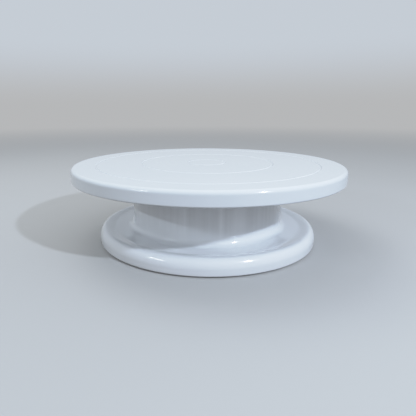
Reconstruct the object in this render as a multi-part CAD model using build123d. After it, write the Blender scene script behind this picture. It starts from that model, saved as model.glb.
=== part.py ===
from build123d import *
import math
import os

# ---------------------------------------------------------------------------
# Lazy susan turntable: a round moulded plate on a pedestal base.
# Millimetres, +Z up, origin on the spin axis at the plane the feet stand on.
# Everything is turned about the Z axis, and every repeated feature has
# six-fold symmetry about it.
# ---------------------------------------------------------------------------

# --- overall ---------------------------------------------------------------
height = 80.0              # feet to top of plate
plate_d = 280.0            # plate diameter
base_d = 230.0             # base lip diameter

# --- plate -----------------------------------------------------------------
rim_h = 13.0               # height of the plate's rim
plate_wall = 3.0           # moulded wall thickness
rim_top_round = 3.5
rim_bottom_round = 1.5
groove_radii = (19.4, 68.8, 115.4)   # centring grooves engraved in the top
groove_w = 1.6
groove_depth = 0.6
plate_rib_t = 2.0
plate_rib_bottom = 72.4
plate_ring_rib_r = 102.0
dust_skirt_r = 71.6        # ring under the plate that hides the bearing
dust_skirt_t = 2.2
dust_skirt_gap = 0.9       # above the deck

# --- base ------------------------------------------------------------------
lip_bottom = 1.0           # the lip hangs this far above the table
lip_crest_z = 16.4
lip_crest_r = 108.4
lip_side_top = 7.0
lip_side_low = 2.6
valley_z = 14.8
valley_r_in = 85.6
valley_r_out = 101.5
base_wall = 3.0
column_r_low = 79.2        # radius at the foot of the pedestal
column_r_top = 78.4        # radius under the deck, a slight draft
column_foot_z = 20.6
deck_z = 66.0
deck_round = 3.0
base_rib_t = 2.0

# --- bearing ---------------------------------------------------------------
ball_r = 3.0
ball_n = 12
track_r = 55.0             # pitch radius of the balls
ball_z = 70.0
track_groove_r = 3.3       # section radius of the raceway
track_clear = 0.03         # axial clearance between ball and raceway, each side
race_t = 1.2
race_r_in = 50.0
race_r_out = 66.0
race_flange_h = 2.0        # flange face to ball centre
race_screw_r = 62.2        # pitch radius of the race screws
race_screw_n = 6
cage_r_in = 51.0
cage_r_out = 59.0
cage_t = 2.6
pocket_clear = 0.10

# --- spindle ---------------------------------------------------------------
spigot_r = 8.0
spigot_bottom = 48.7
hub_r = 14.0
hub_bottom = 67.3
bush_bore_r = 8.05         # running fit on the spigot
bush_r = 11.0
bush_flange_r = 14.5
bush_flange_t = 1.0
boss_r = 15.0
boss_bottom = 49.0
insert_r = 4.5
insert_len = 12.0
screw_shank_r = 2.95
washer_r = 13.0
washer_t = 1.2
lock_washer_r = 5.6
lock_washer_t = 1.6
screw_head_r = 5.6
screw_head_h = 3.6

# --- feet ------------------------------------------------------------------
foot_n = 6
foot_pitch_r = 98.0
foot_r = 6.0
foot_h = 3.6
foot_boss_r = 8.0
foot_boss_bottom = 2.2

os.makedirs("parts", exist_ok=True)

plate_r = plate_d / 2
lip_r = base_d / 2
rim_bottom = height - rim_h
under_z = height - plate_wall


# --- helpers ---------------------------------------------------------------
def P(r, z):
    return (r, 0.0, z)


def line(a, b):
    return Edge.make_line(P(*a), P(*b))


def quarter(a, corner, b):
    """Quarter ellipse from a to b, tangent to the two sides that meet at corner."""
    rx = max(abs(a[0] - corner[0]), abs(b[0] - corner[0]))
    rz = max(abs(a[1] - corner[1]), abs(b[1] - corner[1]))
    centre = (a[0] + b[0] - corner[0], a[1] + b[1] - corner[1])
    mid = (
        centre[0] + (corner[0] - centre[0]) * math.sqrt(0.5),
        centre[1] + (corner[1] - centre[1]) * math.sqrt(0.5),
    )
    if abs(rx - rz) < 1e-6:
        return Edge.make_three_point_arc(P(*a), P(*mid), P(*b))
    pts = []
    ta = math.atan2((a[1] - centre[1]) / rz, (a[0] - centre[0]) / rx)
    tb = math.atan2((b[1] - centre[1]) / rz, (b[0] - centre[0]) / rx)
    d = (tb - ta + math.pi) % (2 * math.pi) - math.pi
    for i in range(9):
        t = ta + d * i / 8
        pts.append(P(centre[0] + rx * math.cos(t), centre[1] + rz * math.sin(t)))
    ea = (corner[0] - a[0], 0, corner[1] - a[1])
    eb = (b[0] - corner[0], 0, b[1] - corner[1])
    return Edge.make_spline([Vector(*p) for p in pts], tangents=[Vector(*ea), Vector(*eb)])


def ease(a, b):
    """Soft step from a to b, level at both ends."""
    s = 1 if b[0] > a[0] else -1
    return Edge.make_spline([Vector(*P(*a)), Vector(*P(*b))], tangents=[Vector(s, 0, 0), Vector(s, 0, 0)])


def turned(edges):
    """Solid of revolution about Z from a closed half section."""
    return Part() + Solid.revolve(Face(Wire(edges)), 360, Axis.Z)


def poly(points):
    pts = [P(*p) for p in points]
    return [Edge.make_line(pts[i], pts[(i + 1) % len(pts)]) for i in range(len(pts))]


def ring(r_in, r_out, z0, z1):
    return turned(poly([(r_in, z0), (r_out, z0), (r_out, z1), (r_in, z1)]))


def disc(r, z0, z1, x=0.0, y=0.0):
    return Pos(x, y, (z0 + z1) / 2) * Cylinder(r, z1 - z0)


def torus(r, minor, z):
    return Pos(0, 0, z) * Torus(r, minor)


def polar(shape, n, first=0.0):
    return [Rot(0, 0, first + 360.0 * i / n) * shape for i in range(n)]


def plank(x0, x1, t, z0, z1):
    return Pos((x0 + x1) / 2, 0, (z0 + z1) / 2) * Box(x1 - x0, t, z1 - z0)


def merged(parts):
    out = parts[0]
    for p in parts[1:]:
        out = out + p
    return out


def save(shape, name):
    export_step(shape, f"parts/{name}.step")


def pan_screw(shank_r, length, head_r, head_h, recess_w, recess_l, recess_d):
    """Pan-head cross-recess screw: head above z = 0, shank down to -length."""
    edge = min(head_h * 0.55, head_r * 0.45)
    head = turned([
        line((0, 0), (head_r, 0)),
        line((head_r, 0), (head_r, head_h - edge)),
        quarter((head_r, head_h - edge), (head_r, head_h), (head_r - edge * 1.6, head_h)),
        line((head_r - edge * 1.6, head_h), (0, head_h)),
        line((0, head_h), (0, 0)),
    ])
    tip = min(shank_r * 0.6, 1.0)
    shank = turned(poly([(0, 0.0), (0, -length), (shank_r - tip, -length), (shank_r, -length + tip), (shank_r, 0.0)]))
    body = head + shank
    for a in (0, 90):
        body = body - Rot(0, 0, a) * Pos(0, 0, head_h - recess_d / 2 + 0.01) * Box(recess_l, recess_w, recess_d)
    return body


# --- base shell ------------------------------------------------------------
# Outer form: deck, pedestal, concave foot fillet, shallow valley, rolled lip.
lip_edge_r = lip_r - 1.9
outer_edges = [
    line((0, lip_bottom), (lip_edge_r, lip_bottom)),
    quarter((lip_edge_r, lip_bottom), (lip_r, lip_bottom), (lip_r, lip_side_low)),
    line((lip_r, lip_side_low), (lip_r, lip_side_top)),
    quarter((lip_r, lip_side_top), (lip_r, lip_crest_z), (lip_crest_r, lip_crest_z)),
    ease((lip_crest_r, lip_crest_z), (valley_r_out, valley_z)),
    line((valley_r_out, valley_z), (valley_r_in, valley_z)),
    quarter((valley_r_in, valley_z), (column_r_low, valley_z), (column_r_low, column_foot_z)),
    line((column_r_low, column_foot_z), (column_r_top, deck_z - deck_round)),
    quarter((column_r_top, deck_z - deck_round), (column_r_top, deck_z), (column_r_top - deck_round, deck_z)),
    line((column_r_top - deck_round, deck_z), (0, deck_z)),
    line((0, deck_z), (0, lip_bottom)),
]
base_form = turned(outer_edges)

# Hollow inside: the wall is near constant, and open underneath.
w = base_wall
deck_under = deck_z - w
hollow_edges = [
    line((0, lip_bottom - 2), (lip_r - w, lip_bottom - 2)),
    line((lip_r - w, lip_bottom - 2), (lip_r - w, lip_side_top)),
    quarter((lip_r - w, lip_side_top), (lip_r - w, lip_crest_z - w), (lip_crest_r, lip_crest_z - w)),
    ease((lip_crest_r, lip_crest_z - w), (valley_r_out, valley_z - w)),
    line((valley_r_out, valley_z - w), (valley_r_in, valley_z - w)),
    quarter((valley_r_in, valley_z - w), (column_r_low - w, valley_z - w), (column_r_low - w, column_foot_z)),
    line((column_r_low - w, column_foot_z), (column_r_top - w, deck_under - 2)),
    quarter((column_r_top - w, deck_under - 2), (column_r_top - w, deck_under), (column_r_top - w - 2, deck_under)),
    line((column_r_top - w - 2, deck_under), (0, deck_under)),
    line((0, deck_under), (0, lip_bottom - 2)),
]
base_hollow = turned(hollow_edges)
shell = base_form - base_hollow

# Ribs and bosses underneath, kept inside the outer form.
foot_x = [(foot_pitch_r * math.cos(math.radians(60 * i)), foot_pitch_r * math.sin(math.radians(60 * i))) for i in range(foot_n)]
lip_ribs = merged(polar(plank(74.0, lip_r - w + 0.6, base_rib_t, 4.0, 16.0), 12, 15.0)) & base_form
deck_ribs = merged(polar(plank(boss_r - 1.0, column_r_top - w + 0.6, base_rib_t + 0.2, 52.0, deck_under + 0.5), 6, 0.0))
track_rib = ring(track_r - 1.1, track_r + 1.1, 57.0, deck_under + 0.5)
centre_boss = disc(boss_r, boss_bottom, deck_under + 0.5)
foot_bosses = merged([disc(foot_boss_r, foot_boss_bottom, valley_z - 1.0, x, y) for x, y in foot_x])
race_bosses = merged(polar(disc(3.4, 55.0, deck_under + 0.5, race_screw_r), race_screw_n, 30.0))
shell = shell + lip_ribs + deck_ribs + track_rib + centre_boss + foot_bosses + race_bosses

# Raised seat for the lower race, its channel, and the holes.
race_seat_low = ball_z - race_flange_h - race_t
shell = shell + ring(race_r_in - 0.6, race_r_out + 0.6, deck_z - 0.5, race_seat_low)
track_low_centre = ball_z - ball_r - track_clear + track_groove_r
shell = shell - torus(track_r, track_groove_r + race_t + 0.15, track_low_centre)
shell = shell - disc(bush_r, boss_bottom - 1, deck_z + 1)
for x, y in foot_x:
    shell = shell - disc(foot_r + 0.1, foot_boss_bottom - 1, foot_h, x, y)
for hole in polar(disc(1.3, 57.5, race_seat_low + 1, race_screw_r), race_screw_n, 30.0):
    shell = shell - hole
save(shell, "base_shell")

# --- feet: round rubber pads in the bosses ---------------------------------
pad = turned([
    line((0, 0), (foot_r - 0.6, 0)),
    quarter((foot_r - 0.6, 0), (foot_r, 0), (foot_r, 0.6)),
    line((foot_r, 0.6), (foot_r, foot_h)),
    line((foot_r, foot_h), (0, foot_h)),
    line((0, foot_h), (0, 0)),
])
for i, (x, y) in enumerate(foot_x):
    save(Pos(x, y, 0) * pad, f"foot_{i + 1}")

# --- spindle bush: flanged plastic bearing in the centre boss ---------------
bush = turned(poly([
    (bush_bore_r + 0.5, boss_bottom),
    (bush_r, boss_bottom),
    (bush_r, deck_z),
    (bush_flange_r, deck_z),
    (bush_flange_r, deck_z + bush_flange_t),
    (bush_bore_r + 0.5, deck_z + bush_flange_t),
    (bush_bore_r, deck_z + bush_flange_t - 0.5),
    (bush_bore_r, boss_bottom + 0.5),
]))
save(bush, "spindle_bush")


# --- races: pressed steel rings with a gutter for the balls -----------------
def pressed_race():
    """Lower race about ball_z: flat flanges and a round gutter between them."""
    top = ball_z - race_flange_h
    flange = ring(race_r_in, race_r_out, top - race_t, top)
    gutter = torus(track_r, track_groove_r + race_t, track_low_centre) & ring(track_r - 6, track_r + 6, top - 6, top)
    race = flange + gutter - torus(track_r, track_groove_r, track_low_centre)
    for hole in polar(disc(1.6, top - race_t - 1, top + 1, race_screw_r), race_screw_n, 30.0):
        race = race - hole
    return race


lower_race = pressed_race()
save(lower_race, "lower_race")
flip = Pos(0, 0, ball_z) * Rot(180, 0, 0) * Pos(0, 0, -ball_z)
upper_race = flip * lower_race
save(upper_race, "upper_race")

# --- race screws ------------------------------------------------------------
small_screw_low = pan_screw(1.3, 9.0, 2.5, 1.3, 0.6, 2.8, 0.7)
low_screws = polar(Pos(race_screw_r, 0, ball_z - race_flange_h) * small_screw_low, race_screw_n, 30.0)
save(Compound(children=[s for p in low_screws for s in p.solids()]), "lower_race_screws")
small_screw_up = pan_screw(1.3, 5.6, 2.5, 1.3, 0.6, 2.8, 0.7)
up_screws = polar(Pos(race_screw_r, 0, ball_z + race_flange_h) * Rot(180, 0, 0) * small_screw_up, race_screw_n, 30.0)
save(Compound(children=[s for p in up_screws for s in p.solids()]), "upper_race_screws")

# --- ball cage and balls ----------------------------------------------------
cage = ring(cage_r_in, cage_r_out, ball_z - cage_t / 2, ball_z + cage_t / 2)
for hole in polar(disc(ball_r + pocket_clear, ball_z - 4, ball_z + 4, track_r), ball_n, 15.0):
    cage = cage - hole
for slot in polar(Pos(track_r, 0, ball_z) * Box(3.4, 9.0, cage_t + 1), ball_n, 0.0):
    cage = cage - slot
save(cage, "ball_cage")
for i in range(ball_n):
    a = math.radians(15.0 + 360.0 * i / ball_n)
    ball = Pos(track_r * math.cos(a), track_r * math.sin(a), ball_z) * Rot(0, 0, 15.0 + 360.0 * i / ball_n) * Rot(0, 90, 0) * Sphere(ball_r)
    save(ball, f"ball_{i + 1:02d}")

# --- top plate --------------------------------------------------------------
rim_in = plate_r - plate_wall
plate_edges = [
    line((0, under_z), (rim_in - 2.0, under_z)),
    quarter((rim_in - 2.0, under_z), (rim_in, under_z), (rim_in, under_z - 2.0)),
    line((rim_in, under_z - 2.0), (rim_in, rim_bottom + 0.8)),
    quarter((rim_in, rim_bottom + 0.8), (rim_in, rim_bottom), (rim_in + 0.8, rim_bottom)),
    line((rim_in + 0.8, rim_bottom), (plate_r - rim_bottom_round, rim_bottom)),
    quarter((plate_r - rim_bottom_round, rim_bottom), (plate_r, rim_bottom), (plate_r, rim_bottom + rim_bottom_round)),
    line((plate_r, rim_bottom + rim_bottom_round), (plate_r, height - rim_top_round)),
    quarter((plate_r, height - rim_top_round), (plate_r, height), (plate_r - rim_top_round, height)),
    line((plate_r - rim_top_round, height), (0, height)),
    line((0, height), (0, under_z)),
]
plate = turned(plate_edges)
race_seat_up = ball_z + race_flange_h + race_t
plate = plate + ring(race_r_in - 0.6, race_r_out + 0.6, race_seat_up, under_z + 0.5)
plate = plate + merged(polar(plank(race_r_out + 0.3, rim_in + 0.6, plate_rib_t, plate_rib_bottom, under_z + 0.5), 12, 0.0))
plate = plate + ring(plate_ring_rib_r - 1, plate_ring_rib_r + 1, plate_rib_bottom, under_z + 0.5)
plate = plate + ring(dust_skirt_r - dust_skirt_t / 2, dust_skirt_r + dust_skirt_t / 2, deck_z + dust_skirt_gap, under_z + 0.5)
plate = plate + merged(polar(plank(hub_r - 1, race_r_in - 0.4, plate_rib_t, 71.0, under_z + 0.5), 6, 0.0))
plate = plate + disc(hub_r, hub_bottom, under_z + 0.5)
spigot = turned(poly([
    (0, spigot_bottom),
    (spigot_r - 0.8, spigot_bottom),
    (spigot_r, spigot_bottom + 0.8),
    (spigot_r, hub_bottom + 0.5),
    (0, hub_bottom + 0.5),
]))
plate = plate + spigot
track_up_centre = 2 * ball_z - track_low_centre
plate = plate - torus(track_r, track_groove_r + race_t + 0.15, track_up_centre)
groove_minor = ((groove_w / 2) ** 2 + groove_depth**2) / (2 * groove_depth)
for r in groove_radii:
    plate = plate - torus(r, groove_minor, height - groove_depth + groove_minor)
plate = plate - disc(insert_r, spigot_bottom - 1, spigot_bottom + insert_len + 1.5)
for hole in polar(disc(1.3, race_seat_up - 1, 78.0, race_screw_r), race_screw_n, 30.0):
    plate = plate - hole
save(plate, "top_plate")

# --- hub insert, washers and retaining screw, under the spindle --------------
insert = ring(screw_shank_r, insert_r, spigot_bottom, spigot_bottom + insert_len)
for z in (spigot_bottom + 3.0, spigot_bottom + 7.5):
    insert = insert - ring(insert_r - 0.4, insert_r + 1, z, z + 1.5)
save(insert, "hub_insert")

washer_top = spigot_bottom
washer = ring(3.2, washer_r, washer_top - washer_t, washer_top)
save(washer, "retaining_washer")

lock_top = washer_top - washer_t
lock = ring(3.15, lock_washer_r, lock_top - lock_washer_t, lock_top)
lock = lock - Pos(4.5, 0, lock_top - lock_washer_t / 2) * Rot(30, 0, 0) * Box(4.0, 0.7, 4.0)
save(lock, "lock_washer")

head_top = lock_top - lock_washer_t
big_screw = pan_screw(screw_shank_r, 13.0, screw_head_r, screw_head_h, 1.2, 6.4, 2.0)
save(Pos(0, 0, head_top) * Rot(180, 0, 0) * big_screw, "retaining_screw")
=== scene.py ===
import math

import bmesh
import bpy
from mathutils import Matrix, Vector


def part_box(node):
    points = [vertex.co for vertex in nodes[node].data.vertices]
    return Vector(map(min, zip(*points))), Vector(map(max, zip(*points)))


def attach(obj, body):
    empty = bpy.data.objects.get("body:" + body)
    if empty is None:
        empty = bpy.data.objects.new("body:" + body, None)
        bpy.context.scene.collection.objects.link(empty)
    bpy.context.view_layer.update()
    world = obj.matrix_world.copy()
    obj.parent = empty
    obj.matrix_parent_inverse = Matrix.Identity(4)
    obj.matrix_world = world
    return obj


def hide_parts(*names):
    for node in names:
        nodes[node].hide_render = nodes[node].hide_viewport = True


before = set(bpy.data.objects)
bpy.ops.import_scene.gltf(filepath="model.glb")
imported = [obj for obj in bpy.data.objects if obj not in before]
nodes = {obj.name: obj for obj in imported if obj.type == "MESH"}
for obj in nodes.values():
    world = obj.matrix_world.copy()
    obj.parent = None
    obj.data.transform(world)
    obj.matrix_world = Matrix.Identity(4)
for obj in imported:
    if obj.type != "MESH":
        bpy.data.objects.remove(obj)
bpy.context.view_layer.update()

MM = 0.001
scene = bpy.context.scene
plate_lo, plate_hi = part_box("top_plate")
base_lo, base_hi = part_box("base_shell")
PLATE_R = plate_hi.x / MM
TOP = plate_hi.z / MM
LIP_R = base_hi.x / MM


# ---------------------------------------------------------------- mesh tools
def rounded(points, hold=0.35):
    """Turns [(r, z, radius), ...] into a fine half section: each corner gets an arc of that radius, and
    each straight run gets a point close to both ends, so that smooth shading stays on the corners."""
    n = len(points)
    runs = []
    for i, (r, z, rad) in enumerate(points):
        p = Vector((r, z))
        if i in (0, n - 1) or rad <= 0:
            runs.append([p])
            continue
        a, b = Vector(points[i - 1][:2]), Vector(points[i + 1][:2])
        u, v = (a - p).normalized(), (b - p).normalized()
        ang = math.acos(max(-1, min(1, u.dot(v))))
        if ang > math.pi - 1e-3:
            runs.append([p])
            continue
        cut = rad / math.tan(ang / 2)
        c = p + (u + v).normalized() * (rad / math.sin(ang / 2))
        s, e = p + u * cut - c, p + v * cut - c
        turn = math.atan2(s.x * e.y - s.y * e.x, s.dot(e))
        steps = max(3, min(14, int(abs(turn) / math.radians(9)) + 1))
        arc = []
        for k in range(steps + 1):
            t = turn * k / steps
            arc.append(c + Vector((s.x * math.cos(t) - s.y * math.sin(t), s.x * math.sin(t) + s.y * math.cos(t))))
        runs.append(arc)
    out = []
    for i, run in enumerate(runs):
        if i:
            a, b = out[-1], run[0]
            d = (b - a).length
            if d > 3 * hold:
                out.append(a + (b - a) * (hold / d))
                out.append(b + (a - b) * (hold / d))
        out.extend(run)
    clean = [out[0]]
    for p in out[1:]:
        if (p - clean[-1]).length > 1e-4:
            clean.append(p)
    return clean


def quarter(a, corner, b, n=14):
    """Quarter ellipse from a to b, tangent to the sides that meet at corner."""
    cx, cz = a[0] + b[0] - corner[0], a[1] + b[1] - corner[1]
    rx = max(abs(a[0] - corner[0]), abs(b[0] - corner[0]))
    rz = max(abs(a[1] - corner[1]), abs(b[1] - corner[1]))
    ta = math.atan2((a[1] - cz) / rz, (a[0] - cx) / rx)
    tb = math.atan2((b[1] - cz) / rz, (b[0] - cx) / rx)
    d = (tb - ta + math.pi) % (2 * math.pi) - math.pi
    return [Vector((cx + rx * math.cos(ta + d * i / n), cz + rz * math.sin(ta + d * i / n))) for i in range(n + 1)]


def ease(a, b, n=14):
    """Soft step, level at both ends, as the CAD section has it."""
    chord = math.hypot(b[0] - a[0], b[1] - a[1])
    s = 1 if b[0] > a[0] else -1
    out = []
    for i in range(n + 1):
        u = i / n
        h00, h10, h01, h11 = 2 * u**3 - 3 * u**2 + 1, u**3 - 2 * u**2 + u, -2 * u**3 + 3 * u**2, u**3 - u**2
        out.append(Vector((h00 * a[0] + h10 * s * chord + h01 * b[0] + h11 * s * chord, h00 * a[1] + h01 * b[1])))
    return out


def lathe(name, section, segments=288, loop=False):
    """A closed surface of revolution about Z. The section runs from axis to axis, or is a loop off the axis."""
    verts, faces, rings = [], [], []
    for p in section:
        if p.x < 1e-6:
            rings.append([len(verts)])
            verts.append((0, 0, p.y * MM))
        else:
            start = len(verts)
            for k in range(segments):
                t = 2 * math.pi * k / segments
                verts.append((p.x * MM * math.cos(t), p.x * MM * math.sin(t), p.y * MM))
            rings.append(list(range(start, start + segments)))
    pairs = list(zip(rings, rings[1:])) + ([(rings[-1], rings[0])] if loop else [])
    for a, b in pairs:
        for k in range(segments):
            j = (k + 1) % segments
            if len(a) == 1:
                faces.append((a[0], b[k], b[j]))
            elif len(b) == 1:
                faces.append((a[k], b[0], a[j]))
            else:
                faces.append((a[k], b[k], b[j], a[j]))
    return new_piece(name, verts, faces)


def new_piece(name, verts, faces, smooth=True):
    me = bpy.data.meshes.new(name)
    me.from_pydata(verts, [], faces)
    me.validate()
    bm = bmesh.new()
    bm.from_mesh(me)
    bmesh.ops.recalc_face_normals(bm, faces=bm.faces)
    bm.to_mesh(me)
    bm.free()
    me.polygons.foreach_set("use_smooth", [smooth] * len(me.polygons))
    ob = bpy.data.objects.new(name, me)
    scene.collection.objects.link(ob)
    return ob


def bevelled_box(bm, lo, hi, turn=0.0, width=0.35, top_draft=0.0, wedge=None):
    """Adds a box with rounded edges to bm, in millimetres, turned about Z."""
    made = bmesh.ops.create_cube(bm, size=1.0)["verts"]
    size = Vector(hi) - Vector(lo)
    mid = (Vector(hi) + Vector(lo)) / 2
    for v in made:
        v.co = Vector((v.co.x * size.x, v.co.y * size.y * (1 - top_draft * (0.5 - v.co.z if wedge is None else v.co.z * wedge + 0.5)), v.co.z * size.z)) + mid
    edges = list({e for v in made for e in v.link_edges})
    res = bmesh.ops.bevel(bm, geom=edges, offset=width, segments=2, profile=0.5, affect="EDGES")
    moved = {v for f in res["faces"] for v in f.verts} | {v for v in made if v.is_valid}
    bmesh.ops.rotate(bm, cent=(0, 0, 0), matrix=Matrix.Rotation(turn, 3, "Z"), verts=list(moved))


def from_bm(name, bm, sharp=32):
    for v in bm.verts:
        v.co *= MM
    bmesh.ops.recalc_face_normals(bm, faces=bm.faces)
    me = bpy.data.meshes.new(name)
    bm.to_mesh(me)
    bm.free()
    me.polygons.foreach_set("use_smooth", [True] * len(me.polygons))
    me.set_sharp_from_angle(angle=math.radians(sharp))
    ob = bpy.data.objects.new(name, me)
    scene.collection.objects.link(ob)
    return ob


def turned_post(bm, section, x, y, segments=48):
    """Adds a small closed turned solid (section from axis to axis, mm) standing at x, y."""
    rings = []
    for p in section:
        if p.x < 1e-6:
            rings.append([bm.verts.new((x, y, p.y))])
        else:
            rings.append([bm.verts.new((x + p.x * math.cos(2 * math.pi * k / segments), y + p.x * math.sin(2 * math.pi * k / segments), p.y)) for k in range(segments)])
    for a, b in zip(rings, rings[1:]):
        for k in range(segments):
            j = (k + 1) % segments
            if len(a) == 1:
                bm.faces.new((a[0], b[k], b[j]))
            elif len(b) == 1:
                bm.faces.new((a[k], b[0], a[j]))
            else:
                bm.faces.new((a[k], b[k], b[j], a[j]))


# ---------------------------------------------------------------- materials
class Nodes:
    """Small helper to write node graphs."""

    def __init__(self, name):
        self.mat = bpy.data.materials.new(name)
        self.mat.use_nodes = True
        self.tree = self.mat.node_tree
        self.tree.nodes.clear()
        self.out = self.add("ShaderNodeOutputMaterial")
        self.bsdf = self.add("ShaderNodeBsdfPrincipled")
        self.link(self.bsdf.outputs["BSDF"], self.out.inputs["Surface"])
        self.coord = self.add("ShaderNodeTexCoord").outputs["Object"]

    def add(self, kind, **props):
        n = self.tree.nodes.new(kind)
        for k, v in props.items():
            setattr(n, k, v)
        return n

    def link(self, a, b):
        self.tree.links.new(a, b)

    def math(self, op, a, b=None, c=None, clamp=False):
        n = self.add("ShaderNodeMath", operation=op, use_clamp=clamp)
        for i, x in enumerate((a, b, c)):
            if x is None:
                continue
            if isinstance(x, (int, float)):
                n.inputs[i].default_value = x
            else:
                self.link(x, n.inputs[i])
        return n.outputs[0]

    def noise(self, scale, detail=3.0, rough=0.5, vector=None, dim="3D", distortion=0.0):
        n = self.add("ShaderNodeTexNoise", noise_dimensions=dim)
        n.inputs["Scale"].default_value = scale
        n.inputs["Detail"].default_value = detail
        n.inputs["Roughness"].default_value = rough
        n.inputs["Distortion"].default_value = distortion
        self.link(vector or self.coord, n.inputs["Vector"])
        return n.outputs["Fac"]

    def ramp(self, fac, stops):
        n = self.add("ShaderNodeValToRGB")
        e = n.color_ramp.elements
        while len(e) < len(stops):
            e.new(0.5)
        for i, (pos, col) in enumerate(stops):
            e[i].position = pos
            e[i].color = (*col, 1) if isinstance(col, tuple) else (col, col, col, 1)
        self.link(fac, n.inputs["Fac"])
        return n.outputs["Color"]

    def range(self, value, a, b, lo, hi):
        n = self.add("ShaderNodeMapRange")
        for i, x in enumerate((a, b, lo, hi)):
            n.inputs[i + 1].default_value = x
        self.link(value, n.inputs[0])
        return n.outputs[0]

    def mix(self, fac, a, b):
        n = self.add("ShaderNodeMix", data_type="RGBA")
        if isinstance(fac, (int, float)):
            n.inputs[0].default_value = fac
        else:
            self.link(fac, n.inputs[0])
        for sock, x in ((6, a), (7, b)):
            if isinstance(x, tuple):
                n.inputs[sock].default_value = (*x, 1)
            else:
                self.link(x, n.inputs[sock])
        return n.outputs[2]

    def polar(self, k_r=1.0, k_a=1.0, k_z=1.0):
        """Object coordinates as (radius, angle, height): noise through it runs round the spin axis."""
        s = self.add("ShaderNodeSeparateXYZ")
        self.link(self.coord, s.inputs[0])
        r = self.math("SQRT", self.math("ADD", self.math("MULTIPLY", s.outputs[0], s.outputs[0]), self.math("MULTIPLY", s.outputs[1], s.outputs[1])))
        # the direction as a unit vector keeps the noise free of a seam
        ux = self.math("DIVIDE", s.outputs[0], self.math("ADD", r, 1e-5))
        uy = self.math("DIVIDE", s.outputs[1], self.math("ADD", r, 1e-5))
        c = self.add("ShaderNodeCombineXYZ")
        self.link(self.math("ADD", self.math("MULTIPLY", r, k_r), self.math("MULTIPLY", s.outputs[2], k_z)), c.inputs[0])
        self.link(self.math("MULTIPLY", ux, k_a), c.inputs[1])
        self.link(self.math("MULTIPLY", uy, k_a), c.inputs[2])
        return c.outputs[0], r, s.outputs[2]

    def bump(self, height, strength, distance, normal=None):
        n = self.add("ShaderNodeBump")
        n.inputs["Strength"].default_value = strength
        n.inputs["Distance"].default_value = distance
        self.link(height, n.inputs["Height"])
        if normal is not None:
            self.link(normal, n.inputs["Normal"])
        return n.outputs[0]

    def set(self, **values):
        for k, v in values.items():
            sock = self.bsdf.inputs[k.replace("_", " ")]
            if hasattr(v, "is_linked") or hasattr(v, "links"):
                self.link(v, sock)
            else:
                sock.default_value = v
        return self.mat


def white_plastic(name, tint, turned):
    """Polished white moulded plastic: faint cloudiness in the colour, flow and polish lines round the
    axis in the gloss, a trace of orange peel, fine dust specks, and a thin glossy skin over it all.
    turned adds the scuffs that follow the plate's turning; otherwise the column wall gets painted reflections: upright
    light and dark streaks in its colour, set by the angle from the front."""
    n = Nodes(name)
    vec, r, z = n.polar(k_r=900.0, k_a=3.0, k_z=900.0)
    cloud = n.noise(9.0, 4.0, 0.55)
    blotch = n.noise(55.0, 3.0, 0.5)
    base = n.mix(n.range(cloud, 0.3, 0.7, 0.0, 1.0), tint[0], tint[1])
    base = n.mix(n.range(blotch, 0.35, 0.75, 0.0, 0.45), base, tint[2])
    turn = n.noise(1.0, 3.0, 0.6, vector=vec)
    fine = n.noise(2600.0, 2.0, 0.5)
    speck = n.noise(1400.0, 2.0, 0.7)
    base = n.mix(n.range(speck, 0.72, 0.80, 0.0, 0.05), base, (0.62, 0.63, 0.64))
    rough = n.math("ADD", n.range(turn, 0.3, 0.7, 0.0, 0.04), n.range(blotch, 0.3, 0.7, 0.09, 0.125))
    if turned:
        scuff = n.math("MULTIPLY", n.range(turn, 0.56, 0.70, 0.0, 1.0), n.range(cloud, 0.42, 0.6, 0.0, 1.0))
        rough = n.math("ADD", rough, n.math("MULTIPLY", scuff, 0.07))
        rough = n.math("ADD", rough, n.range(speck, 0.68, 0.78, 0.0, 0.04))
    else:
        # painted reflections on the column wall: upright light and dark streaks in the colour, set by the angle from
        # the front, with fine random streaks in them
        s = n.add("ShaderNodeSeparateXYZ")
        n.link(n.coord, s.inputs[0])
        az = n.math("ARCTAN2", s.outputs[0], n.math("MULTIPLY", s.outputs[1], -1.0))
        reflection_streaks = n.ramp(n.math("MULTIPLY_ADD", az, 1 / (2 * math.pi), 0.5, clamp=True), PAINTED_REFLECTION_STREAKS)
        wall = n.math("MULTIPLY", n.range(r, 0.0800, 0.0812, 1.0, 0.0), n.range(z, 0.018, 0.034, 0.0, 1.0))
        fine_az = n.add("ShaderNodeCombineXYZ")
        n.link(n.math("MULTIPLY", s.outputs[0], 260.0), fine_az.inputs[0])
        n.link(n.math("MULTIPLY", s.outputs[1], 260.0), fine_az.inputs[1])
        n.link(n.math("MULTIPLY", z, 6.0), fine_az.inputs[2])
        hair = n.noise(1.0, 2.0, 0.5, vector=fine_az.outputs[0])
        level = n.math("ADD", reflection_streaks, n.range(hair, 0.3, 0.7, -0.12, 0.12))
        level = n.math("MULTIPLY", n.math("SUBTRACT", level, 0.5), wall)
        # painted reflection: the streak level brightens or darkens the base colour here
        gain = n.add("ShaderNodeMix", data_type="RGBA", blend_type="MULTIPLY")
        gain.inputs[0].default_value = 1.0
        n.link(base, gain.inputs[6])
        n.link(n.math("MULTIPLY_ADD", level, 0.26, 1.0), gain.inputs[7])
        base = gain.outputs[2]
    peel = n.noise(620.0, 2.0, 0.45)
    b = n.bump(peel, 0.03, 0.00006)
    b = n.bump(turn, 0.010, 0.00003, b)
    b = n.bump(fine, 0.010, 0.00001, b)
    n.set(Base_Color=base, Roughness=rough, Normal=b)
    n.bsdf.inputs["IOR"].default_value = 1.5
    n.bsdf.inputs["Coat Weight"].default_value = 0.28 if turned else 0.4
    n.bsdf.inputs["Coat Roughness"].default_value = 0.035
    n.bsdf.inputs["Coat IOR"].default_value = 1.5
    return n.mat


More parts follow.
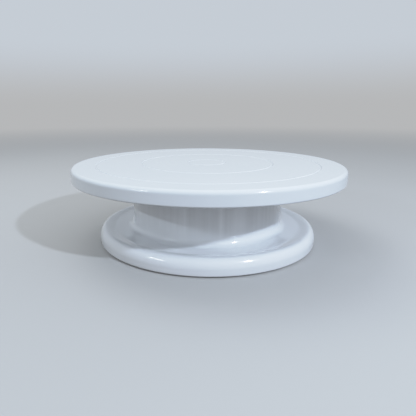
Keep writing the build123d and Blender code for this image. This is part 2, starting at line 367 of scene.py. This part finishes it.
def acetal():
    n = Nodes("acetal_satin")
    c = n.mix(n.range(n.noise(60.0, 4.0, 0.6), 0.3, 0.7, 0, 1), (0.74, 0.725, 0.67), (0.80, 0.785, 0.735))
    vec, _, _ = n.polar(k_r=1500.0, k_a=2.0, k_z=1500.0)
    tool = n.noise(1.0, 3.0, 0.6, vector=vec)
    n.set(Base_Color=c, Roughness=n.range(tool, 0.3, 0.7, 0.34, 0.48), Normal=n.bump(tool, 0.12, 0.00004))
    n.bsdf.inputs["Subsurface Weight"].default_value = 0.15
    n.bsdf.inputs["Subsurface Radius"].default_value = (1.0, 0.95, 0.85)
    n.bsdf.inputs["Subsurface Scale"].default_value = 0.001
    return n.mat


def metal(name, dark, light, rough, scratch, lines=1200.0, edge=None):
    n = Nodes(name)
    vec, _, _ = n.polar(k_r=lines, k_a=2.5, k_z=lines)
    grain = n.noise(1.0, 4.0, 0.65, vector=vec)
    spot = n.noise(230.0, 4.0, 0.6)
    c = n.mix(n.range(spot, 0.35, 0.7, 0, 1), dark, light)
    c = n.mix(n.range(grain, 0.55, 0.8, 0.0, 0.4), c, tuple(x * 0.82 for x in dark))
    rr = n.math("ADD", n.range(grain, 0.3, 0.7, rough[0], rough[1]), n.range(spot, 0.45, 0.75, 0.0, 0.07))
    n.set(Base_Color=c, Roughness=rr, Normal=n.bump(grain, scratch, 0.00005))
    n.bsdf.inputs["Metallic"].default_value = 1.0
    return n.mat


def rubber():
    n = Nodes("foot_rubber_matte")
    c = n.mix(n.range(n.noise(180.0, 5.0, 0.6), 0.3, 0.7, 0, 1), (0.29, 0.29, 0.295), (0.39, 0.39, 0.395))
    dust = n.noise(45.0, 4.0, 0.7)
    c = n.mix(n.range(dust, 0.5, 0.75, 0.0, 0.35), c, (0.50, 0.49, 0.48))
    grain = n.noise(2200.0, 3.0, 0.6)
    n.set(Base_Color=c, Roughness=n.range(grain, 0.3, 0.7, 0.62, 0.82), Normal=n.bump(grain, 0.35, 0.00008))
    n.bsdf.inputs["IOR"].default_value = 1.5
    return n.mat


# how bright each painted reflection streak on the column is, against the angle from the front (a full turn is 0 to 1)
PAINTED_REFLECTION_STREAKS = []
for deg, level in ((-180, 0.5), (-152, 0.62), (-147, 0.45), (-118, 0.56), (-104, 0.42), (-71, 0.5), (-55, 0.58), (-40, 0.5), (-24, 0.5),
                   (-18.0, 0.62), (-14.0, 0.70), (-11.5, 0.40), (2.0, 0.40), (8.2, 0.42), (9.4, 0.95), (10.6, 0.86), (11.8, 0.42), (16.0, 0.48),
                   (19.0, 0.82), (25.0, 0.78), (28.5, 0.42), (41.0, 0.52), (60.0, 0.5), (78, 0.56), (97, 0.44), (121, 0.6), (139, 0.46), (160, 0.54), (180, 0.5)):
    PAINTED_REFLECTION_STREAKS.append(((deg + 180) / 360, level))
PLATE_MAT = white_plastic("white_plate_gloss", ((0.715, 0.744, 0.773), (0.735, 0.764, 0.793), (0.705, 0.739, 0.773)), True)
SHELL_MAT = white_plastic("white_shell_gloss", ((0.778, 0.793, 0.812), (0.798, 0.813, 0.832), (0.771, 0.788, 0.808)), False)
ACETAL = acetal()
RACE = metal("race_pressed_steel", (0.52, 0.52, 0.53), (0.64, 0.64, 0.65), (0.20, 0.34), 0.25)
BALL = metal("ball_bearing_steel", (0.66, 0.67, 0.68), (0.74, 0.75, 0.76), (0.05, 0.09), 0.02)
ZINC = metal("zinc_plated_screw", (0.58, 0.58, 0.57), (0.72, 0.72, 0.70), (0.22, 0.36), 0.2, lines=2600.0)
BRASS = metal("turned_brass", (0.60, 0.43, 0.18), (0.74, 0.57, 0.28), (0.18, 0.30), 0.25, lines=3200.0)
RUBBER = rubber()


def give(ob, mat):
    ob.data.materials.clear()
    ob.data.materials.append(mat)
    return ob


for name, ob in nodes.items():
    if name.startswith("ball_") and name != "ball_cage":
        ob.material_slots[0].material = BALL
    elif name.startswith("foot_"):
        ob.material_slots[0].material = RUBBER
    elif name in ("ball_cage", "spindle_bush"):
        ob.material_slots[0].material = ACETAL
    elif name in ("lower_race", "upper_race"):
        ob.material_slots[0].material = RACE
    elif name == "hub_insert":
        ob.material_slots[0].material = BRASS
    elif name in ("lower_race_screws", "upper_race_screws", "retaining_washer", "lock_washer", "retaining_screw"):
        ob.material_slots[0].material = ZINC


# ---------------------------------------------------------------- top plate
GROOVES = (19.4, 68.8, 115.4)
UNDER = TOP - 3.0
RIM_BOTTOM = TOP - 13.0


def groove(r, half=0.8, depth=0.6, lip=0.22):
    """A shallow round-bottomed groove with softened edges, from inside to outside."""
    rad = (half**2 + depth**2) / (2 * depth)
    pts = [Vector((r - half - lip * 3, TOP)), Vector((r - half - lip * 1.6, TOP))]
    pts.append(Vector((r - half - lip * 0.6, TOP - 0.02)))
    pts.append(Vector((r - half, TOP - 0.085)))
    a = math.asin(half / rad)
    for i in range(1, 10):
        t = -a + 2 * a * i / 10
        pts.append(Vector((r + rad * math.sin(t), TOP - depth + rad - rad * math.cos(t))))
    pts.append(Vector((r + half, TOP - 0.085)))
    pts.append(Vector((r + half + lip * 0.6, TOP - 0.02)))
    pts += [Vector((r + half + lip * 1.6, TOP)), Vector((r + half + lip * 3, TOP))]
    return pts


top = [Vector((0, TOP))]
last = 0.0
for g in GROOVES:
    inner = g - 0.8 - 0.66
    for k in range(1, 6):
        top.append(Vector((last + (inner - last) * k / 6, TOP)))
    top += groove(g)
    last = g + 0.8 + 0.66
edge_start = PLATE_R - 3.5
for k in range(1, 6):
    top.append(Vector((last + (edge_start - 0.3 - last) * k / 5, TOP)))
rim = quarter((edge_start, TOP), (PLATE_R, TOP), (PLATE_R, TOP - 3.5), 16)
rim += [Vector((PLATE_R, TOP - 3.8)), Vector((PLATE_R, TOP - 6.5)), Vector((PLATE_R, TOP - 9.5))]
rim += [Vector((PLATE_R, RIM_BOTTOM + 1.8))]
rim += quarter((PLATE_R, RIM_BOTTOM + 1.5), (PLATE_R, RIM_BOTTOM), (PLATE_R - 1.5, RIM_BOTTOM), 10)
RACE_SEAT_UP = 73.2
TRACK_UP = 2 * 70.0 - (70.0 - 3.0 - 0.03 + 3.3)
cg = 3.3 + 1.2 + 0.15
half_g = math.sqrt(cg**2 - (RACE_SEAT_UP - TRACK_UP) ** 2)
a0 = math.asin(half_g / cg)
channel_up = [Vector((55.0 + cg * math.sin(a0 - 2 * a0 * i / 12), TRACK_UP + cg * math.cos(a0 - 2 * a0 * i / 12))) for i in range(13)]
under = rounded([
    (PLATE_R - 1.5, RIM_BOTTOM, 0),
    (PLATE_R - 3.0, RIM_BOTTOM, 0.75),
    (PLATE_R - 3.0, UNDER, 1.9),
    (103.0, UNDER, 0.7), (103.0, 72.4, 0.3), (101.0, 72.4, 0.3), (101.0, UNDER, 0.7),
    (72.7, UNDER, 0.7), (72.7, 66.9, 0.35), (70.5, 66.9, 0.35), (70.5, UNDER, 0.7),
    (66.6, UNDER, 0.5), (66.6, RACE_SEAT_UP, 0.2), (channel_up[0].x, channel_up[0].y, 0),
])
under += channel_up[1:-1]
under += rounded([
    (channel_up[-1].x, channel_up[-1].y, 0), (49.4, RACE_SEAT_UP, 0.2), (49.4, UNDER, 0.5),
    (14.0, UNDER, 1.2), (14.0, 67.3, 0.4), (8.0, 67.3, 0.25), (8.0, 48.7, 0.5), (4.5, 48.7, 0.1), (4.5, 62.2, 0.1), (0.0, 62.2, 0),
])
section = top + rim + under
clean = [section[0]]
for p in section[1:]:
    if (p - clean[-1]).length > 2e-3:
        clean.append(p)
plate = lathe("plate_moulding", clean, 240)
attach(plate, "turntable")
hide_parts("top_plate")
give(plate, PLATE_MAT)

bm = bmesh.new()
for k in range(12):
    bevelled_box(bm, (72.2, -1.0, 72.4), (PLATE_R - 2.6, 1.0, UNDER + 0.6), math.radians(30 * k), 0.32, 0.12)
for k in range(6):
    bevelled_box(bm, (66.2, -1.0, 72.4), (71.2, 1.0, UNDER + 0.6), math.radians(60 * k), 0.32, 0.12)
    bevelled_box(bm, (13.4, -1.0, 71.0), (49.8, 1.0, UNDER + 0.6), math.radians(60 * k), 0.32, 0.12)
plate_ribs = from_bm("plate_ribs", bm)
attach(plate_ribs, "turntable")
give(plate_ribs, PLATE_MAT)

# ---------------------------------------------------------------- base shell
W = 3.0
DECK = 66.0
SEAT = 66.8
TRACK_LOW = 70.0 - 3.0 - 0.03 + 3.3
half_l = math.sqrt(cg**2 - (TRACK_LOW - SEAT) ** 2)
b0 = math.asin(half_l / cg)
channel_low = [Vector((55.0 - cg * math.sin(b0 - 2 * b0 * i / 12), TRACK_LOW - cg * math.cos(b0 - 2 * b0 * i / 12))) for i in range(13)]
sec = []
# deck, from the bush outwards
sec += rounded([
    (11.0, 49.3, 0), (11.0, DECK, 0.2), (49.4, DECK, 0.15), (49.4, SEAT, 0.2), (channel_low[0].x, channel_low[0].y, 0),
])
sec += channel_low[1:-1]
sec += rounded([(channel_low[-1].x, channel_low[-1].y, 0), (66.6, SEAT, 0.2), (66.6, DECK, 0.15), (75.2, DECK, 0)])
sec += quarter((75.4, DECK), (78.4, DECK), (78.4, DECK - 3.0), 12)
for k in range(1, 9):
    t = k / 8
    sec.append(Vector((78.4 + 0.8 * t, (DECK - 3.0) + (20.6 - DECK + 3.0) * t)))
sec += quarter((79.2, 20.6), (79.2, 14.8), (85.6, 14.8), 20)[1:]
for k in range(1, 4):
    sec.append(Vector((85.6 + (97.5 - 85.6) * k / 4, 14.8)))
sec += ease((97.5, 14.8), (108.4, 16.4), 22)
sec += quarter((108.4, 16.4), (LIP_R, 16.4), (LIP_R, 7.0), 24)[1:]
sec += [Vector((LIP_R, 5.6)), Vector((LIP_R, 4.0))]
sec += quarter((LIP_R, 2.6), (LIP_R, 1.0), (LIP_R - 1.9, 1.0), 10)
sec += [Vector((LIP_R - 2.3, 1.0))]
sec += quarter((LIP_R - 2.5, 1.0), (LIP_R - W, 1.0), (LIP_R - W, 1.5), 4)
sec += [Vector((LIP_R - W, 2.0)), Vector((LIP_R - W, 5.0))]
sec += quarter((LIP_R - W, 7.0), (LIP_R - W, 13.4), (108.4, 13.4), 14)
sec += ease((108.4, 13.4), (101.5, 11.8), 12)[1:]
for k in range(1, 4):
    sec.append(Vector((101.5 - (101.5 - 85.6) * k / 4, 11.8)))
sec += quarter((85.6, 11.8), (76.2, 11.8), (76.2, 20.6), 16)
for k in range(1, 9):
    t = k / 8
    sec.append(Vector((76.2 - 0.8 * t, 20.6 + (61.0 - 20.6) * t)))
sec += quarter((75.4, 61.0), (75.4, 63.0), (73.4, 63.0), 8)[1:]
sec += rounded([
    (73.0, 63.0, 0), (56.1, 63.0, 0.6), (56.1, 57.0, 0.35), (53.9, 57.0, 0.35), (53.9, 63.0, 0.6),
    (15.0, 63.0, 1.2), (15.0, 49.0, 0.45), (11.3, 49.0, 0),
])
clean = [sec[0]]
for p in sec[1:]:
    if (p - clean[-1]).length > 2e-3:
        clean.append(p)
base = lathe("base_moulding", clean, 256, loop=True)
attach(base, "base")
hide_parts("base_shell")
give(base, SHELL_MAT)


def under_wall(x):
    """Height of the wall's mid surface above a point at radius x, so that a rib's top ends inside the wall."""
    if x < 85.6:
        t = (85.6 - x) / (85.6 - 77.7)
        return 13.3 + 6.0 * (1 - math.sqrt(max(0.0, 1 - min(1, t) ** 2)))
    if x < 101.5:
        return 13.3
    if x < 108.4:
        u = (x - 101.5) / 6.9
        return 13.3 + 1.6 * (3 * u * u - 2 * u**3)
    t = (x - 108.4) / 5.1
    return 6.5 + 8.3 * math.sqrt(max(0.0, 1 - min(1, t) ** 2))


bm = bmesh.new()
for k in range(12):
    turn = math.radians(15 + 30 * k)
    xs = [77.3 + (113.2 - 77.3) * i / 30 for i in range(31)]
    prof = [(x, 4.0) for x in xs] + [(x, under_wall(x)) for x in reversed(xs)]
    rot = Matrix.Rotation(turn, 3, "Z")
    rings = []
    for side in (-1, 1):
        ring = []
        for x, z in prof:
            half = 0.82 if z <= 4.0 else 1.0
            ring.append(bm.verts.new(rot @ Vector((x, side * half, z))))
        rings.append(ring)
    m = len(prof)
    for i in range(30):
        a, b2 = i, 2 * 31 - 1 - i
        bm.faces.new((rings[0][a], rings[0][a + 1], rings[0][b2 - 1], rings[0][b2]))
        bm.faces.new((rings[1][a], rings[1][b2], rings[1][b2 - 1], rings[1][a + 1]))
    edge = []
    for i in range(m):
        j = (i + 1) % m
        bm.faces.new((rings[0][i], rings[1][i], rings[1][j], rings[0][j]))
lip_ribs = from_bm("lip_ribs", bm)
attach(lip_ribs, "base")
give(lip_ribs, SHELL_MAT)

bm = bmesh.new()
for k in range(6):
    turn = math.radians(60 * k)
    bevelled_box(bm, (14.2, -1.1, 52.0), (54.6, 1.1, 63.8), turn, 0.32, 0.12)
    bevelled_box(bm, (55.4, -1.1, 52.0), (76.4, 1.1, 63.8), turn, 0.32, 0.12)
deck_ribs = from_bm("deck_ribs", bm)
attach(deck_ribs, "base")
give(deck_ribs, SHELL_MAT)

bm = bmesh.new()
for k in range(6):
    a = math.radians(60 * k)
    post = rounded([(0, 3.6, 0), (6.1, 3.6, 0.2), (6.1, 2.2, 0.25), (8.0, 2.2, 0.5), (8.0, 13.2, 0), (0, 13.2, 0)], 0.3)
    turned_post(bm, post, 98.0 * math.cos(a), 98.0 * math.sin(a), 64)
    a = math.radians(30 + 60 * k)
    post = rounded([(0, 55.0, 0), (3.4, 55.0, 0.45), (3.4, 64.0, 0), (0, 64.0, 0)], 0.3)
    turned_post(bm, post, 62.2 * math.cos(a), 62.2 * math.sin(a), 40)
bosses = from_bm("base_bosses", bm, 40)
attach(bosses, "base")
give(bosses, SHELL_MAT)

# ---------------------------------------------------------------- stage
FAR = (0.47, 0.477, 0.485)


def floor_material():
    """Pale matt floor. Its bounce onto the object is that of a darker table, so that the gap under the
    plate keeps its depth, and from below it's clear, so that the underside of the object shows."""
    n = Nodes("floor_pale")
    soft = n.range(n.noise(1.6, 3.0, 0.5), 0.3, 0.7, 0, 1)
    c = n.mix(soft, (0.50, 0.49, 0.475), (0.515, 0.505, 0.49))
    n.set(Base_Color=c, Roughness=0.8)
    dim = n.add("ShaderNodeBsdfDiffuse")
    dim.inputs["Color"].default_value = (0.190, 0.166, 0.146, 1)
    path = n.add("ShaderNodeLightPath")
    seen = n.add("ShaderNodeMixShader")
    n.link(path.outputs["Is Diffuse Ray"], seen.inputs[0])
    n.link(n.bsdf.outputs[0], seen.inputs[1])
    n.link(dim.outputs[0], seen.inputs[2])
    geo = n.add("ShaderNodeNewGeometry")
    clear = n.add("ShaderNodeBsdfTransparent")
    # far out it takes the shade of the room at floor level, so that no horizon shows
    s = n.add("ShaderNodeSeparateXYZ")
    n.link(n.coord, s.inputs[0])
    r2 = n.math("ADD", n.math("MULTIPLY", s.outputs[0], s.outputs[0]), n.math("MULTIPLY", s.outputs[1], s.outputs[1]))
    far = n.add("ShaderNodeMapRange", interpolation_type="SMOOTHSTEP")
    n.link(n.math("SQRT", r2), far.inputs[0])
    far.inputs[1].default_value, far.inputs[2].default_value = 0.6, 2.6
    haze = n.add("ShaderNodeEmission")
    haze.inputs["Color"].default_value = (*FAR, 1)
    cove = n.add("ShaderNodeMixShader")
    n.link(far.outputs[0], cove.inputs[0])
    n.link(seen.outputs[0], cove.inputs[1])
    n.link(haze.outputs[0], cove.inputs[2])
    mix = n.add("ShaderNodeMixShader")
    # it's clear from below, and to what lies right on it, so that the feet's own undersides aren't black there
    touching = n.math("MULTIPLY", path.outputs["Is Diffuse Ray"], n.math("LESS_THAN", path.outputs["Ray Length"], 0.0005))
    n.link(n.math("MAXIMUM", geo.outputs["Backfacing"], touching), mix.inputs[0])
    n.link(cove.outputs[0], mix.inputs[1])
    n.link(clear.outputs[0], mix.inputs[2])
    n.link(mix.outputs[0], n.out.inputs["Surface"])
    return n.mat


bm = bmesh.new()
bmesh.ops.create_grid(bm, x_segments=24, y_segments=24, size=6000.0)
for v in bm.verts:
    v.co = Vector((v.co.x * MM, v.co.y * MM, -0.00005))
floor_mesh = bpy.data.meshes.new("floor")
bm.to_mesh(floor_mesh)
bm.free()
floor = bpy.data.objects.new("floor", floor_mesh)
scene.collection.objects.link(floor)
floor.data.materials.append(floor_material())

world = bpy.data.worlds.new("studio")
scene.world = world
world.use_nodes = True
wt = world.node_tree
bg = wt.nodes["Background"] if "Background" in wt.nodes else wt.nodes.new("ShaderNodeBackground")
bg.inputs["Strength"].default_value = 1.0
# a plain pale room: a little dimmer at floor level, so that the floor runs into it without a hard horizon
wc = wt.nodes.new("ShaderNodeTexCoord")
ws = wt.nodes.new("ShaderNodeSeparateXYZ")
wr = wt.nodes.new("ShaderNodeValToRGB")
wt.links.new(wc.outputs["Generated"], ws.inputs[0])
wt.links.new(ws.outputs[2], wr.inputs["Fac"])
wr.color_ramp.interpolation = "EASE"
wr.color_ramp.elements[0].position, wr.color_ramp.elements[0].color = 0.0, (*FAR, 1)
wr.color_ramp.elements[1].position, wr.color_ramp.elements[1].color = 0.16, (0.560, 0.606, 0.664, 1)
# what the room's lower part gives to the object is dimmer than what shows, as from furniture along its walls
wd = wt.nodes.new("ShaderNodeValToRGB")
wt.links.new(ws.outputs[2], wd.inputs["Fac"])
wd.color_ramp.interpolation = "EASE"
wd.color_ramp.elements[0].position, wd.color_ramp.elements[0].color = 0.0, (0.31, 0.29, 0.275, 1)
wd.color_ramp.elements[1].position, wd.color_ramp.elements[1].color = 0.16, (0.560, 0.606, 0.664, 1)
wl = wt.nodes.new("ShaderNodeLightPath")
wm = wt.nodes.new("ShaderNodeMix")
wm.data_type = "RGBA"
wt.links.new(wl.outputs["Is Diffuse Ray"], wm.inputs[0])
wt.links.new(wr.outputs["Color"], wm.inputs[6])
wt.links.new(wd.outputs["Color"], wm.inputs[7])
wt.links.new(wm.outputs[2], bg.inputs["Color"])


def area(name, az, el, dist, w, h, watts, colour=(1, 1, 1), target=(0, 0, 0.03)):
    """A softbox: az from the front towards +X, el above the horizon, in degrees."""
    data = bpy.data.lights.new(name, "AREA")
    data.shape = "RECTANGLE"
    data.size, data.size_y = w, h
    data.energy = watts
    data.color = colour
    ob = bpy.data.objects.new(name, data)
    scene.collection.objects.link(ob)
    a, e = math.radians(az), math.radians(el)
    t = Vector(target)
    ob.location = t + dist * Vector((math.sin(a) * math.cos(e), -math.cos(a) * math.cos(e), math.sin(e)))
    ob.rotation_mode = "QUATERNION"
    ob.rotation_quaternion = (t - ob.location).to_track_quat("-Z", "Y")
    return ob


area("key", 44.5, 33, 1.25, 0.045, 0.045, 8.25, (0.865, 1.0, 1.20))
area("strip_left", -50, 25.5, 1.3, 0.34, 0.018, 1.8, (0.86, 1.0, 1.16))
area("side_left", -95, 25, 1.6, 1.1, 0.7, 1.25, (0.90, 1.0, 1.04)).visible_glossy = False
area("high_left", -125, 60, 0.9, 0.5, 0.5, 1.9, (0.94, 1.0, 1.03)).visible_glossy = False
# inside the hollow base, so that the underside shows when it is looked at through the floor
under_light = area("under_light", 0, -90, 0.0, 0.18, 0.18, 0.075, (1.0, 0.99, 0.97))
under_light.location = (0, 0, 0.0004)
under_light.rotation_mode = "XYZ"
under_light.rotation_euler = (math.pi, 0, 0)
under_light.data.shape = "DISK"
under_light.visible_camera = False
under_light.visible_glossy = False

# ---------------------------------------------------------------- camera
D, HC, YAW, PITCH, ROLL, F, CX, CY = 392.56, 135.77 + 1.0, 0.05329, -0.26764, 0.00304, 367.64, -20.72, 0.0
cyw, syw, cp, sp, cr, sr = math.cos(YAW), math.sin(YAW), math.cos(PITCH), math.sin(PITCH), math.cos(ROLL), math.sin(ROLL)
Rz = Matrix(((cyw, -syw, 0), (syw, cyw, 0), (0, 0, 1)))
Rx = Matrix(((1, 0, 0), (0, cp, -sp), (0, sp, cp)))
Ry = Matrix(((cr, 0, sr), (0, 1, 0), (-sr, 0, cr)))
R = Rz @ Rx @ Ry
right, fwd, up = R.col[0], R.col[1], R.col[2]
M = Matrix((
    (right.x, up.x, -fwd.x, 0.0),
    (right.y, up.y, -fwd.y, -D * MM),
    (right.z, up.z, -fwd.z, HC * MM),
    (0, 0, 0, 1),
))
cam_data = bpy.data.cameras.new("camera")
cam_data.sensor_fit = "HORIZONTAL"
cam_data.sensor_width = 36.0
cam_data.lens = F / 416 * 36.0
cam_data.shift_x = -CX / 416
cam_data.shift_y = CY / 416
cam_data.clip_start, cam_data.clip_end = 0.01, 50
cam = bpy.data.objects.new("camera", cam_data)
scene.collection.objects.link(cam)
cam.matrix_world = M
scene.camera = cam
scene.view_settings.view_transform = "Standard"
# a soft shoulder, as a camera has, so that the brightest whites keep their shape
curves = scene.view_settings.curve_mapping
scene.view_settings.use_curve_mapping = True
curves.extend = "EXTRAPOLATED"
curves.use_clip = False
shoulder = curves.curves[3]
shoulder.points[0].location = (0.0, 0.0)
shoulder.points[1].location = (1.0, 0.875)
for x, y in ((0.25, 0.25), (0.5, 0.5), (0.72, 0.715), (0.86, 0.81)):
    shoulder.points.new(x, y)
curves.update()
